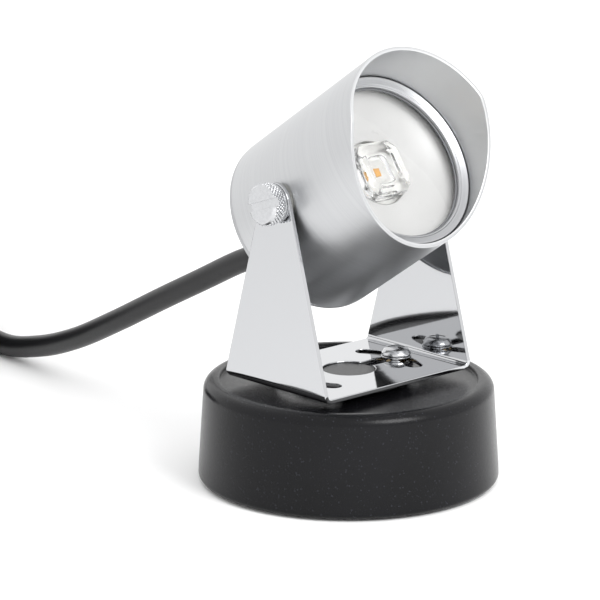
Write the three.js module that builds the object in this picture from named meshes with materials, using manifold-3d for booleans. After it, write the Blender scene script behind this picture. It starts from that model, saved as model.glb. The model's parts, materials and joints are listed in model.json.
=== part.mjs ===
// Underwater pond light: a tube head with an oblique front cut, in a U-bracket on a weighted base.
// Millimetres, +Z up. The base stands on z = 0, the pivot runs along X and the beam leaves towards -Y.
import * as THREE from 'three';
import Module from 'manifold-3d';

const wasm = await Module();
wasm.setup();

// driving dimensions
const tubeRadius = 28, tubeWall = 1.2;
const tilt = THREE.MathUtils.degToRad(33.8);
const visorFront = 39.2, visorCutAt = 35.3, visorCutSlope = 0.464;
const tubeBack = -21.4;
const sheet = 1.3, armGap = 0.6;
const plateTop = 33.7, plateHalfDepth = 21.4;
const pivotZ = 88.8, pivotAboveAxis = 1.2;
const armTopRadius = 5.9;
const baseRadius = 45, baseTopRadius = 43.4, baseTop = 31.1, padTop = 32.3, padRadius = 21;
const slotRadius = 19.8, slotWidth = 5, slotHalfAngle = THREE.MathUtils.degToRad(33);
const screwRadius = 1.95;
const cableRadius = 3.65;
const coilCentre = [-28, 238], coilInner = 29.1, coilOuter = 58.9, coilTop = 37;

const armInside = tubeRadius + armGap;
const armOutside = armInside + sheet;

// materials
const paint = (color, roughness, metalness = 0) =>
  new THREE.MeshStandardMaterial({ color, roughness, metalness });
const brushedSteel = paint('#c9cacc', 0.32, 1);
const polishedSteel = paint('#dcdde0', 0.08, 1);
const turnedSteel = paint('#c4c5c8', 0.25, 1);
const brass = paint('#c9a75a', 0.3, 1);
const aluminium = paint('#b9bcc0', 0.4, 1);
const blackPlastic = paint('#26272a', 0.55);
const concrete = paint('#8d8b86', 0.9);
const blackRubber = paint('#232325', 0.7);
const nylon = paint('#e6e4dc', 0.5);
const clearGlass = paint('#f4f8f8', 0.02);
const whiteReflector = paint('#f6f6f4', 0.35);
const clearAcrylic = paint('#f8f8f4', 0.05);
const phosphor = paint('#f0b02a', 0.6);
const boardMask = paint('#f0f0ee', 0.5);
const greenBoard = paint('#2d6b45', 0.5);
const ferrite = paint('#3b3a3c', 0.6);
const redWire = paint('#b3261e', 0.5);
const copper = paint('#c27b52', 0.3, 1);

// geometry helpers
function turned(points, segments = 40) {
  // closed or axis-to-axis profile of [radius, height], turned about Z
  let area = 0;
  points.forEach(([r, z], i) => {
    const [r2, z2] = points[(i + 1) % points.length];
    area += r * z2 - r2 * z;
  });
  const outline = area < 0 ? [...points].reverse() : [...points];
  const onAxis = outline.some(([r]) => r === 0);
  if (onAxis) {
    // start just after the run along the axis
    while (!(outline[0][0] === 0 && outline[outline.length - 1][0] === 0)) {
      outline.push(outline.shift());
    }
  } else {
    outline.push(outline[0]);
  }
  const lathe = new THREE.LatheGeometry(outline.map(([r, z]) => new THREE.Vector2(r, z)), segments);
  return lathe.rotateX(Math.PI / 2);
}

function ring(inner, outer, low, high, segments = 40) {
  return turned([[inner, low], [outer, low], [outer, high], [inner, high]], segments);
}

function disc(radius, low, high, segments = 32) {
  return turned([[0, low], [radius, low], [radius, high], [0, high]], segments);
}

function block(sizeX, sizeY, sizeZ, at = [0, 0, 0]) {
  return new THREE.BoxGeometry(sizeX, sizeY, sizeZ).translate(...at);
}

function plateOf(shape, low, high, curveSegments = 12) {
  const depth = high - low;
  return new THREE.ExtrudeGeometry(shape, { depth, bevelEnabled: false, curveSegments }).translate(0, 0, low);
}

function polygon(points) {
  return new THREE.Shape(points.map(([x, y]) => new THREE.Vector2(x, y)));
}

function solid(geometry) {
  // welded copy of a geometry as a manifold, without its zero-area faces
  const position = geometry.toNonIndexed ? (geometry.index ? geometry.toNonIndexed() : geometry)
    .attributes.position : geometry.attributes.position;
  const seen = new Map(), vertices = [], faces = [], ids = [];
  for (let i = 0; i < position.count; i++) {
    const p = [position.getX(i), position.getY(i), position.getZ(i)];
    const key = p.map((v) => Math.round(v * 1e4)).join(' ');
    if (!seen.has(key)) {
      seen.set(key, vertices.length / 3);
      vertices.push(...p);
    }
    ids.push(seen.get(key));
  }
  for (let i = 0; i < ids.length; i += 3) {
    const [a, b, c] = ids.slice(i, i + 3);
    if (a !== b && b !== c && a !== c) faces.push(a, b, c);
  }
  return new wasm.Manifold(new wasm.Mesh({
    numProp: 3, vertProperties: new Float32Array(vertices), triVerts: new Uint32Array(faces),
  }));
}

function shapeOf(manifold) {
  const mesh = manifold.getMesh();
  const geometry = new THREE.BufferGeometry();
  geometry.setAttribute('position', new THREE.BufferAttribute(mesh.vertProperties, 3));
  geometry.setIndex(new THREE.BufferAttribute(mesh.triVerts, 1));
  const flat = geometry.toNonIndexed();
  flat.computeVertexNormals();
  return flat;
}

function cut(geometry, ...tools) {
  return shapeOf(tools.reduce((body, tool) => body.subtract(solid(tool)), solid(geometry)));
}

function joined(...geometries) {
  return shapeOf(geometries.map(solid).reduce((a, b) => a.add(b)));
}

function add(parent, name, geometry, material, at = [0, 0, 0]) {
  const mesh = new THREE.Mesh(geometry, material);
  mesh.name = name;
  mesh.position.set(...at);
  parent.add(mesh);
  return mesh;
}

function groupIn(parent, name, at = [0, 0, 0], turn = [0, 0, 0]) {
  const made = new THREE.Group();
  made.name = name;
  made.position.set(...at);
  made.rotation.set(...turn);
  parent.add(made);
  return made;
}

function tubeAlong(points, radius, steps, sides = 10) {
  const circle = [...Array(sides).keys()].map((i) => {
    const a = (i / sides) * 2 * Math.PI;
    return [radius * Math.cos(a), radius * Math.sin(a)];
  });
  const path = new THREE.CatmullRomCurve3(points.map((p) => new THREE.Vector3(...p)), false, 'centripetal');
  return new THREE.ExtrudeGeometry(polygon(circle), { steps, extrudePath: path });
}

// base: hollow shell with a raised rim and pad, ballast, bottom cover and feet
function buildBase(root) {
  const rimRound = 3.2;
  const rim = [0, 1, 2, 3, 4].map((i) => {
    const a = (i / 4) * (Math.PI / 2);
    return [baseTopRadius - rimRound + rimRound * Math.cos(a), baseTop - rimRound + rimRound * Math.sin(a)];
  });
  const shell = turned([
    [0, 25], [40.5, 25], [42.2, 3], [42.2, 0.8], [44.2, 0.8], [baseRadius, 1.6], [baseRadius, 4],
    ...rim, [39.7, baseTop], [39.3, baseTop - 0.5], [padRadius, baseTop - 0.5], [padRadius, padTop],
    [7.8, padTop], [7.8, padTop + 0.9], [0, padTop + 0.9],
  ], 64);
  const boss = disc(5.2, 28, padTop, 28).translate(slotRadius, 0, 0);
  const insertBore = disc(3.1, 26.3, 40, 20).translate(slotRadius, 0, 0);
  add(root, 'base_shell', cut(joined(shell, boss), insertBore), blackPlastic);
  add(root, 'base_ballast', disc(40, 3.2, 24.7, 48), concrete);
  add(root, 'base_cover', disc(42, 1, 2.8, 48), blackPlastic);
  for (let i = 0; i < 4; i++) {
    const a = Math.PI / 4 + (i * Math.PI) / 2;
    add(root, `base_foot_${i + 1}`, disc(5, 0, 0.9, 20), blackRubber, [32 * Math.cos(a), 32 * Math.sin(a), 0]);
  }
  const insert = cut(disc(3, 26.4, padTop - 0.1, 20), disc(2.15, 27.2, 40, 20));
  add(root, 'threaded_insert', insert, brass, [slotRadius, 0, 0]);
}

// pan-head screw with a cross recess that clamps the bracket through its arc slot
function buildClampScrew(root) {
  const clamp = groupIn(root, 'clamp', [slotRadius, 0, plateTop]);
  add(clamp, 'clamp_washer', ring(2.2, 4.6, 0.05, 0.55, 32), turnedSteel);
  const seat = 0.65, head = 2.7;
  const pan = turned([[0, seat], [4.1, seat], [4.4, seat + 0.3], [4.3, seat + 1.1], [3.6, seat + 2],
    [2.3, seat + head - 0.15], [0, seat + head]], 32);
  const shank = disc(screwRadius, 27.6 - plateTop, seat + 0.3, 20);
  const arm = (turn) => block(5, 1, 3, [0, 0, seat + head]).rotateZ(turn);
  add(clamp, 'clamp_screw', cut(joined(pan, shank), arm(Math.PI / 4), arm(-Math.PI / 4)), turnedSteel);
}

// U-bracket bent from one strip: plate with a centre hole, a channel and two arc slots
function bracketSection() {
  const bend = 2.6, inner = bend - sheet, bottom = plateTop - sheet, top = pivotZ + 10;
  const section = new THREE.Shape();
  section.moveTo(-armOutside, top);
  section.lineTo(-armOutside, bottom + bend);
  section.absarc(-armOutside + bend, bottom + bend, bend, Math.PI, 1.5 * Math.PI);
  section.absarc(armOutside - bend, bottom + bend, bend, 1.5 * Math.PI, 2 * Math.PI);
  section.lineTo(armOutside, top);
  section.lineTo(armInside, top);
  section.absarc(armOutside - bend, bottom + bend, inner, 2 * Math.PI, 1.5 * Math.PI, true);
  section.absarc(-armOutside + bend, bottom + bend, inner, 1.5 * Math.PI, Math.PI, true);
  section.lineTo(-armInside, top);
  return section;
}

function arcSlot() {
  const half = slotWidth / 2, end = slotHalfAngle;
  const slot = new THREE.Shape();
  const capAt = (sign) => [slotRadius * Math.cos(end), sign * slotRadius * Math.sin(end)];
  slot.absarc(0, 0, slotRadius + half, -end, end);
  slot.absarc(...capAt(1), half, end, end + Math.PI);
  slot.absarc(0, 0, slotRadius - half, end, -end, true);
  slot.absarc(...capAt(-1), half, -end + Math.PI, -end + 2 * Math.PI);
  return slot;
}

function buildBracket(bracket) {
  const low = plateTop - sheet - 1, lean = Math.atan2(plateHalfDepth - armTopRadius, pivotZ - plateTop);
  const side = new THREE.Shape();
  side.moveTo(-plateHalfDepth, low);
  side.lineTo(plateHalfDepth, low);
  side.lineTo(plateHalfDepth, plateTop);
  side.absarc(0, pivotZ, armTopRadius, lean, Math.PI - lean);
  side.lineTo(-plateHalfDepth, plateTop);
  const strip = plateOf(bracketSection(), -plateHalfDepth - 1, plateHalfDepth + 1, 6).rotateX(Math.PI / 2);
  const outline = plateOf(side, -50, 50, 14).rotateY(Math.PI / 2).rotateX(Math.PI / 2);
  const slot = plateOf(arcSlot(), 20, 40, 10);
  const tools = [
    disc(8, 20, 40, 36),
    slot, slot.clone().rotateZ(Math.PI),
    block(slotRadius, slotWidth, 20, [slotRadius / 2, 0, 30]),
    disc(2.25, -50, 50, 20).rotateY(Math.PI / 2).translate(0, 0, pivotZ),
  ];
  const body = tools.reduce((b, tool) => b.subtract(solid(tool)), solid(strip).intersect(solid(outline)));
  add(bracket, 'bracket', shapeOf(body), polishedSteel);
}

// knurled thumb screw, its washer, the nylon spacer and the nut inside the tube, along +Z outwards
function buildPivot(head, side) {
  const word = side < 0 ? 'left' : 'right';
  const pivot = groupIn(head, `pivot_${word}`, [0, 0, 0], [0, (side * Math.PI) / 2, 0]);
  const spacerLow = tubeRadius + 0.08;
  add(pivot, `spacer_${word}`, ring(2.3, 5.2, spacerLow, armInside - 0.08, 28), nylon);
  add(pivot, `thumb_washer_${word}`, ring(2.2, 5.6, armOutside + 0.05, armOutside + 0.75, 28), turnedSteel);
  const seat = armOutside + 0.8, headRadius = 6.3, thick = 4.8, teeth = 36;
  const knurl = [...Array(teeth * 2).keys()].map((i) => {
    const a = (i / teeth) * Math.PI, r = i % 2 ? headRadius - 0.35 : headRadius;
    return [r * Math.cos(a), r * Math.sin(a)];
  });
  const chamfered = turned([[0, seat], [5.5, seat], [6.4, seat + 0.8], [6.4, seat + thick - 1],
    [5.4, seat + thick], [0, seat + thick]], 36);
  const grip = solid(plateOf(polygon(knurl), seat, seat + thick)).intersect(solid(chamfered));
  const slot = block(16, 2.4, 4, [0, 0, seat + thick]).rotateZ(THREE.MathUtils.degToRad(side * 15));
  const shank = disc(screwRadius, 21.5, seat + 0.5, 20);
  const screw = grip.add(solid(shank)).subtract(solid(slot));
  add(pivot, `thumb_screw_${word}`, shapeOf(screw), turnedSteel);
  const nut = cut(block(7, 7, 3.4, [0, 0, 24.4]), disc(2.15, 10, 40, 20));
  add(pivot, `pivot_nut_${word}`, nut, turnedSteel);
}

// everything coaxial with the beam, along +Z
function buildHousing(core) {
  const inner = tubeRadius - tubeWall;
  const blank = ring(inner, tubeRadius, tubeBack, visorFront, 72);
  const beyond = block(200, 200, 100, [0, 0, 50]).rotateX(Math.atan(visorCutSlope)).translate(0, 0, visorCutAt);
  const pivotHoles = disc(2.5, -50, 50, 20).rotateY(Math.PI / 2).translate(0, pivotAboveAxis, 0);
  add(core, 'housing_tube', cut(blank, beyond, pivotHoles), brushedSteel);
  add(core, 'retaining_ring', turned([[23.6, 20.4], [26.6, 20.4], [26.6, 22.2], [26.2, 22.4], [24.2, 21.6],
    [23.9, 21.6], [23.6, 21.2]], 56), polishedSteel);
  add(core, 'glass_seal', ring(23.1, 26.4, 19.8, 20.3, 56), blackRubber);
  add(core, 'front_glass', disc(26.2, 17.2, 19.7, 56), clearGlass);
}

function buildOptics(core) {
  const bowl = (offset) => [...Array(7).keys()].map((i) => {
    const u = i / 6;
    return [10 + offset + 13.6 * u, 13 + 3.2 * u * u + 0.2 * u];
  });
  const inside = bowl(0), outside = bowl(1.1).map(([r, z]) => [r, Math.min(z - 0.9, 15.5)]);
  add(core, 'reflector_dish', turned([...inside, [24.6, 17], [26.2, 17], [26.2, 15.8],
    ...outside.reverse()], 40), whiteReflector);
  const engineHeight = 8.4;
  const engine = groupIn(core, 'engine', [0, 0, engineHeight], [0, 0, 0]);
  const flats = 8.4, chamfer = 5.4;
  const octagon = polygon([[-flats, -chamfer], [-chamfer, -flats], [chamfer, -flats], [flats, -chamfer],
    [flats, chamfer], [chamfer, flats], [-chamfer, flats], [-flats, chamfer]]);
  const lensBlock = new THREE.ExtrudeGeometry(octagon, {
    depth: 5, bevelThickness: 0.9, bevelSize: 0.8, bevelOffset: -0.8, bevelSegments: 2,
  }).translate(0, 0, 2.8);
  add(engine, 'led_lens', cut(lensBlock, disc(5.4, 0, 3.4, 24)), clearAcrylic);
  add(engine, 'led_emitter', block(6.4, 6.4, 1.1, [0, 0, 2.5]), phosphor);
  const screwX = 11;
  add(engine, 'led_board', cut(disc(13, 0.2, 1.8, 40), disc(1.2, -1, 3, 16).translate(screwX, 0, 0),
    disc(1.2, -1, 3, 16).translate(-screwX, 0, 0)), boardMask);
  const boardScrew = turned([[0, -4], [0.9, -4], [0.9, 1.9], [1.6, 1.9], [1.6, 2.7], [1.1, 3.1], [0, 3.1]], 16);
  add(engine, 'board_screw_left', boardScrew, turnedSteel, [-screwX, 0, 0]);
  add(engine, 'board_screw_right', boardScrew.clone(), turnedSteel, [screwX, 0, 0]);
  const pockets = [-1, 1].map((side) => block(9, 8.4, 30, [side * 25.6, pivotAboveAxis, 0]));
  const screwBores = [-1, 1].map((side) => disc(1.1, -5, 3, 16).translate(side * screwX, 0, engineHeight));
  const sink = turned([[0, -8], [26.3, -8], [26.3, 0], [17, 0], [17, engineHeight], [0, engineHeight]], 56);
  add(core, 'heat_sink', cut(sink, disc(2.8, -20, 20, 20), ...pockets, ...screwBores), aluminium);
}

function buildDriver(core) {
  add(core, 'driver_board', disc(17, -13.6, -12, 36), greenBoard);
  add(core, 'driver_post_1', disc(1.6, -11.9, -8.1, 16), brass, [0, 13, 0]);
  add(core, 'driver_post_2', disc(1.6, -11.9, -8.1, 16), brass, [0, -13, 0]);
  add(core, 'driver_coil', disc(3.6, -16.8, -13.7, 24), ferrite, [11, 4, 0]);
  add(core, 'driver_capacitor', disc(2.4, -17, -13.7, 20), aluminium, [-11, 3, 0]);
  add(core, 'lead_positive', disc(0.6, -11.9, 8.5, 12), redWire, [1.3, 0, 0]);
  add(core, 'lead_negative', disc(0.6, -11.9, 8.5, 12), blackRubber, [-1.3, 0, 0]);
}

// rear closure and cable entry; the cable leaves along -Z
function buildRear(core) {
  const rim = tubeRadius - 0.1;
  add(core, 'rear_cap', turned([[6.1, -17.6], [26.5, -17.6], [26.5, -18.4], [25.4, -18.4], [25.4, -20],
    [26.5, -20], [26.5, -21.5], [rim, -21.5], [rim, -21.9], [rim - 0.3, -22.5], [rim - 1, -22.8],
    [6.1, -22.8]], 64), brushedSteel);
  const cord = [...Array(12).keys()].map((i) => {
    const a = (i / 12) * 2 * Math.PI;
    return [26.05 + 0.55 * Math.cos(a), -19.2 + 0.55 * Math.sin(a)];
  });
  add(core, 'rear_seal', turned(cord, 48), blackRubber);
  const hexagon = polygon([...Array(6).keys()].map((i) => {
    const a = (i * Math.PI) / 3;
    return [9 * Math.cos(a), 9 * Math.sin(a)];
  }));
  const body = joined(plateOf(hexagon, -26.6, -22.9), disc(6, -25, -15.8, 32), disc(6.4, -31.5, -26, 32));
  add(core, 'gland_body', cut(body, disc(4, -40, 0, 24)), blackPlastic);
  add(core, 'gland_lock_nut', cut(plateOf(hexagon, -17.5, -16, 1), disc(6.1, -40, 0, 32)), blackPlastic);
  const nut = turned([[6.5, -26.8], [8.2, -26.8], [8.2, -32.5], [6.8, -35.6], [4.9, -35.6], [4.9, -34.4],
    [6.5, -33]], 32);
  add(core, 'gland_nut', nut, blackPlastic);
  add(core, 'gland_seal', ring(3.85, 4.75, -34.2, -31.7, 28), blackRubber);
  add(core, 'cable_boot', turned([[3.85, -34.4], [4.7, -34.4], [4.7, -35.8], [5.4, -36.4], [4.8, -42.5],
    [3.85, -42.5]], 28), blackRubber);
}

// cable: down from the gland to the floor, a tied coil, and the low-voltage connector lying on the coil
function buildCable(bracket) {
  const alongBeam = (s) => [0, -s * Math.cos(tilt) - pivotAboveAxis * Math.sin(tilt),
    pivotZ + s * Math.sin(tilt) - pivotAboveAxis * Math.cos(tilt)];
  const floor = cableRadius + 0.05;
  const run = [alongBeam(-33), alongBeam(-38), alongBeam(-43), [0, 50, 57], [0, 64.5, 49.6], [0, 83.2, 40.2],
    [1, 108.5, 27.4], [4, 133.8, 15.9], [8, 158, 7.8], [10.3, 177, floor + 0.2], [12.2, 189.3, floor]];
  add(bracket, 'cable_run', tubeAlong(run, cableRadius, 32), blackRubber);
  const half = (coilOuter - coilInner) / 2, mid = (coilOuter + coilInner) / 2, coilLow = 1.6;
  const height = (coilTop - coilLow) / 2;
  const bundle = [...Array(14).keys()].map((i) => {
    const a = ((i + 0.5) / 14) * 2 * Math.PI;
    const square = (v) => Math.sign(v) * Math.abs(v) ** 0.7;
    return [mid + half * square(Math.cos(a)), (coilLow + coilTop) / 2 + height * square(Math.sin(a))];
  });
  add(bracket, 'cable_coil', turned(bundle, 40), blackRubber, [...coilCentre, 0]);
  const [cx, cy] = coilCentre;
  const onCoil = coilTop + cableRadius + 0.4, plugHeight = coilTop + 9.4;
  const tail = [[cx + 22, cy + 26.4, onCoil + 1.8], [cx + 12, cy + 32.7, onCoil + 4], [cx + 1, cy + 34.9, onCoil + 5],
    [cx - 6, cy + 35, plugHeight], [cx - 11.7, cy + 35, plugHeight]];
  add(bracket, 'cable_tail', tubeAlong(tail, cableRadius, 10), blackRubber);
  const inner = half + 0.3, outer = half + 1.3, under = 0.2, over = coilTop + 2.4;
  const frame = polygon([[-outer, under], [outer, under], [outer, over], [-outer, over]]);
  frame.holes.push(polygon([[-inner, under + 1], [-inner, over - 1], [inner, over - 1], [inner, under + 1]]));
  const tie = groupIn(bracket, 'tie', [cx, cy, 0], [0, 0, Math.PI]);
  add(tie, 'coil_tie', plateOf(frame, -4, 4).rotateX(Math.PI / 2), blackRubber, [mid, 0, 0]);
  buildPlug(bracket, [cx - 12, cy + 35, plugHeight]);
}

function buildPlug(bracket, at) {
  const plug = groupIn(bracket, 'plug', at, [0, -Math.PI / 2, 0]);
  add(plug, 'plug_boot', turned([[0, 0], [4.6, 0], [5.8, 9.7], [0, 9.7]], 24), blackRubber);
  add(plug, 'plug_body', turned([[0, 10], [7.2, 10], [8, 11], [8, 22], [6.2, 22], [6.2, 34], [5.2, 34],
    [5.2, 26], [0, 26]], 28), blackPlastic);
  const ribs = [...Array(32).keys()].map((i) => {
    const a = (i / 32) * 2 * Math.PI, r = i % 2 ? 9.1 : 8.6;
    return [r * Math.cos(a), r * Math.sin(a)];
  });
  add(plug, 'plug_collar', cut(plateOf(polygon(ribs), 22.4, 36, 1), disc(6.6, 20, 40, 28)), blackPlastic);
  add(plug, 'plug_seal', ring(3.9, 5.1, 26.1, 27.1, 24), blackRubber);
  add(plug, 'plug_pin_1', disc(0.9, 26.1, 33, 12), copper, [0, 2, 0]);
  add(plug, 'plug_pin_2', disc(0.9, 26.1, 33, 12), copper, [0, -2, 0]);
}

const group = new THREE.Group();
group.name = 'pond_light';
buildBase(group);
buildClampScrew(group);
const bracket = groupIn(group, 'bracket_group');
buildBracket(bracket);
buildCable(bracket);
const head = groupIn(bracket, 'head_group', [0, 0, pivotZ], [-tilt, 0, 0]);
buildPivot(head, -1);
buildPivot(head, 1);
const core = groupIn(head, 'head_core', [0, 0, -pivotAboveAxis], [Math.PI / 2, 0, 0]);
buildHousing(core);
buildOptics(core);
buildDriver(core);
buildRear(core);

export default group;
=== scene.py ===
import json
import math
import bpy
import bmesh
import numpy as np
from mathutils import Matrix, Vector


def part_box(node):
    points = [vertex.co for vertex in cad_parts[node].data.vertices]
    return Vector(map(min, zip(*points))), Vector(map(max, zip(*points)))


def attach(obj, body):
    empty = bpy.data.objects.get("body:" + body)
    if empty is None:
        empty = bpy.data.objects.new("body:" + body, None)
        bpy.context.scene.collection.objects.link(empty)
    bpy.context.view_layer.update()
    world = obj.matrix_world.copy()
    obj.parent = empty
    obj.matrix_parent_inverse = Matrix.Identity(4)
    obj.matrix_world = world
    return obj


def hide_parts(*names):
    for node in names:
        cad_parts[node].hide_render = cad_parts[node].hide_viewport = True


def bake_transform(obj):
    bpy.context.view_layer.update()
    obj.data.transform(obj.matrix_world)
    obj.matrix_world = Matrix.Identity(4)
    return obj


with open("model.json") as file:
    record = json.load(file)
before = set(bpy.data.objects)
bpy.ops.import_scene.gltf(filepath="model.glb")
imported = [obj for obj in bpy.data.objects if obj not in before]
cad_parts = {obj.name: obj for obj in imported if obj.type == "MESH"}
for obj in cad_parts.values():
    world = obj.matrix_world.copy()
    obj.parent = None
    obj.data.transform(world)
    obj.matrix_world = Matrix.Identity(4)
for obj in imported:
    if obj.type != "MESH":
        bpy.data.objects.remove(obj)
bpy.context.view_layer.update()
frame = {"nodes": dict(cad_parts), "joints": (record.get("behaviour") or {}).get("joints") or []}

nodes = frame["nodes"]
mm = 0.001
jointNamed = {joint["name"]: joint for joint in frame["joints"]}
pivot = np.array(jointNamed["head_tilt"]["pos_m"])

# head: where the tube's own axis runs
headPlace = {"tiltDegrees": 33.8, "pivotAboveAxis": 1.2 * mm}
tilt = math.radians(headPlace["tiltDegrees"])
beam = np.array([0, -math.cos(tilt), math.sin(tilt)])
across = np.array([1.0, 0, 0])
upward = np.array([0, math.sin(tilt), math.cos(tilt)])
headAxes = np.column_stack([across, upward, beam])
headOrigin = pivot - upward * headPlace["pivotAboveAxis"]

# camera
camera = {"azimuth": -43.0, "elevation": 14.35, "distance": 1.0175, "lens": 203.3,
          "target": (-0.0017, 0.0195, 0.0513)}


def makeCamera():
    data = bpy.data.cameras.new("camera")
    data.lens = camera["lens"]
    data.sensor_width = 36
    data.clip_start, data.clip_end = 0.05, 20
    made = bpy.data.objects.new("camera", data)
    bpy.context.scene.collection.objects.link(made)
    a, e = math.radians(camera["azimuth"]), math.radians(camera["elevation"])
    back = Vector((math.sin(a) * math.cos(e), -math.cos(a) * math.cos(e), math.sin(e)))
    made.location = Vector(camera["target"]) + back * camera["distance"]
    made.rotation_euler = (-back).to_track_quat("-Z", "Y").to_euler()
    bpy.context.scene.camera = made


makeCamera()
print("camera placed")


# a mesh from whole arrays of corners and faces
def meshFrom(name, points, faces, smooth=True):
    mesh = bpy.data.meshes.new(name)
    mesh.from_pydata(np.asarray(points, float).tolist(), [], np.asarray(faces).tolist())
    work = bmesh.new()
    work.from_mesh(mesh)
    bmesh.ops.remove_doubles(work, verts=work.verts, dist=1e-7)  # seams and poles become one corner
    bmesh.ops.dissolve_degenerate(work, edges=work.edges, dist=1e-8)
    bmesh.ops.recalc_face_normals(work, faces=work.faces)
    work.to_mesh(mesh)
    work.free()
    mesh.polygons.foreach_set("use_smooth", [smooth] * len(mesh.polygons))
    made = bpy.data.objects.new(name, mesh)
    bpy.context.scene.collection.objects.link(made)
    return made


# faces between neighbours of a grid of rows x columns; the columns go round
def gridFaces(rows, columns, closedRows=False):
    r = np.arange(rows if closedRows else rows - 1)[:, None]
    c = np.arange(columns)[None, :]
    nextRow, nextColumn = (r + 1) % rows, (c + 1) % columns
    quads = np.stack([r * columns + c, r * columns + nextColumn,
                      nextRow * columns + nextColumn, nextRow * columns + c], axis=-1)
    return quads.reshape(-1, 4)


# corners of a profile eased by a quadratic curve, with one close point on each side
# that keeps the flats flat: (1-t)^2 a + 2t(1-t) corner + t^2 b
def eased(profile, radius=0.4 * mm, steps=4, closed=False):
    points = [np.array(p, float) for p in profile]
    count = len(points)
    out = []
    for i, corner in enumerate(points):
        if not closed and i in (0, count - 1):
            out.append(corner[None])
            continue
        before, after = points[i - 1], points[(i + 1) % count]
        reachA, reachB = np.linalg.norm(before - corner), np.linalg.norm(after - corner)
        d = min(radius, 0.42 * reachA, 0.42 * reachB)
        a, b = corner + (before - corner) * d / reachA, corner + (after - corner) * d / reachB
        t = np.linspace(0, 1, steps + 1)[:, None]
        arc = (1 - t) ** 2 * a + 2 * t * (1 - t) * corner + t ** 2 * b
        keepA = a + (before - corner) / reachA * d * 0.12
        keepB = b + (after - corner) / reachB * d * 0.12
        out.append(np.vstack([keepA, arc, keepB]))
    return np.vstack(out)


# a profile of [radius, height] swept round an axis: (r cos u, r sin u, h) in the axes given;
# reshape(u, r, h) may move each ring's radius and height
def turned(name, profile, axes=np.eye(3), origin=(0, 0, 0), segments=160, closed=False, reshape=None,
           smooth=True):
    profile = np.asarray(profile, float)
    u = np.linspace(0, 2 * np.pi, segments, endpoint=False)[None, :]
    r = np.repeat(profile[:, :1], segments, axis=1)
    h = np.repeat(profile[:, 1:], segments, axis=1)
    if reshape:
        r, h = reshape(u, r, h)
    local = np.stack([r * np.cos(u), r * np.sin(u), h], axis=-1)
    points = local.reshape(-1, 3) @ np.asarray(axes).T + np.asarray(origin)
    return meshFrom(name, points, gridFaces(len(profile), segments, closed), smooth)


def onHead(name, profile, **more):
    return turned(name, profile, headAxes, headOrigin, **more)


# a round tube along a line of points: centre + radius (side cos u + top sin u), where side is
# level and square to the line, and the ends are closed by a shrinking ring
def tubeAlong(name, line, radius, sides=20):
    along = np.gradient(line, axis=0)
    along /= np.linalg.norm(along, axis=1)[:, None]
    side = np.cross(along, [0, 0, 1.0])
    side /= np.linalg.norm(side, axis=1)[:, None]
    top = np.cross(side, along)
    u = np.linspace(0, 2 * np.pi, sides, endpoint=False)
    rings = (line[:, None, :] + radius * (side[:, None, :] * np.cos(u)[None, :, None]
                                          + top[:, None, :] * np.sin(u)[None, :, None]))
    caps = np.repeat(line[[0, -1], None, :], sides, axis=1)
    rings = np.concatenate([caps[:1], rings, caps[1:]])
    return meshFrom(name, rings.reshape(-1, 3), gridFaces(len(rings), sides))


# points at even distances along a line
def spaced(line, spacing):
    run = np.concatenate([[0], np.cumsum(np.linalg.norm(np.diff(line, axis=0), axis=1))])
    s = np.linspace(0, run[-1], max(2, int(round(run[-1] / spacing)) + 1))
    return np.stack([np.interp(s, run, line[:, k]) for k in range(3)], axis=1)


def lengthOf(line):
    return float(np.linalg.norm(np.diff(line, axis=0), axis=1).sum())


# the mesh that a piece's modifiers give, kept as its own
def applied(obj):
    mesh = bpy.data.meshes.new_from_object(obj.evaluated_get(bpy.context.evaluated_depsgraph_get()))
    obj.modifiers.clear()
    obj.data = mesh
    return obj


# cutters leave their shape out of a piece and are then thrown away
def carved(obj, *cutters):
    for cutter in cutters:
        step = obj.modifiers.new("cut", "BOOLEAN")
        step.object, step.operation, step.solver = cutter, "DIFFERENCE", "EXACT"
    applied(obj)
    for cutter in cutters:
        bpy.data.objects.remove(cutter)
    return obj


# a second body becomes part of the first
def joined(obj, other):
    step = obj.modifiers.new("join", "BOOLEAN")
    step.object, step.operation, step.solver = other, "UNION", "EXACT"
    applied(obj)
    bpy.data.objects.remove(other)
    return obj


def evenShade(obj):
    obj.modifiers.new("flat faces stay flat", "WEIGHTED_NORMAL").keep_sharp = True
    return obj


def boxPiece(name, sizes, origin, axes=np.eye(3)):
    corner = np.array([[x, y, z] for x in (-1, 1) for y in (-1, 1) for z in (-1, 1)]) * np.array(sizes) / 2
    faces = [[0, 1, 3, 2], [4, 6, 7, 5], [0, 4, 5, 1], [2, 3, 7, 6], [0, 2, 6, 4], [1, 5, 7, 3]]
    return meshFrom(name, corner @ np.asarray(axes).T + np.asarray(origin), faces, smooth=False)


# materials; pattern sizes are given as a pitch in mm
def linear(hexColour):
    value = np.array([int(hexColour[i:i + 2], 16) for i in (1, 3, 5)]) / 255
    value = np.where(value <= 0.04045, value / 12.92, ((value + 0.055) / 1.055) ** 2.4)
    return (*value.tolist(), 1.0)


def node(tree, kind, settings=None, **links):
    made = tree.nodes.new("ShaderNode" + kind)
    for key, value in (settings or {}).items():
        if isinstance(key, int) or key in made.inputs:
            made.inputs[key].default_value = value
        else:
            setattr(made, key, value)
    for key, source in links.items():
        name = key.replace("_", " ")
        socket = made.inputs[int(name[2:])] if name.startswith("at") and name[2:].isdigit() else made.inputs[name]
        tree.links.new(source, socket)
    return made


def startMaterial(name, **values):
    made = bpy.data.materials.new(name)
    made.use_nodes = True
    tree = made.node_tree
    shader = tree.nodes["Principled BSDF"]
    for key, value in values.items():
        shader.inputs[key.replace("_", " ")].default_value = value
    return made, tree, shader


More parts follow.
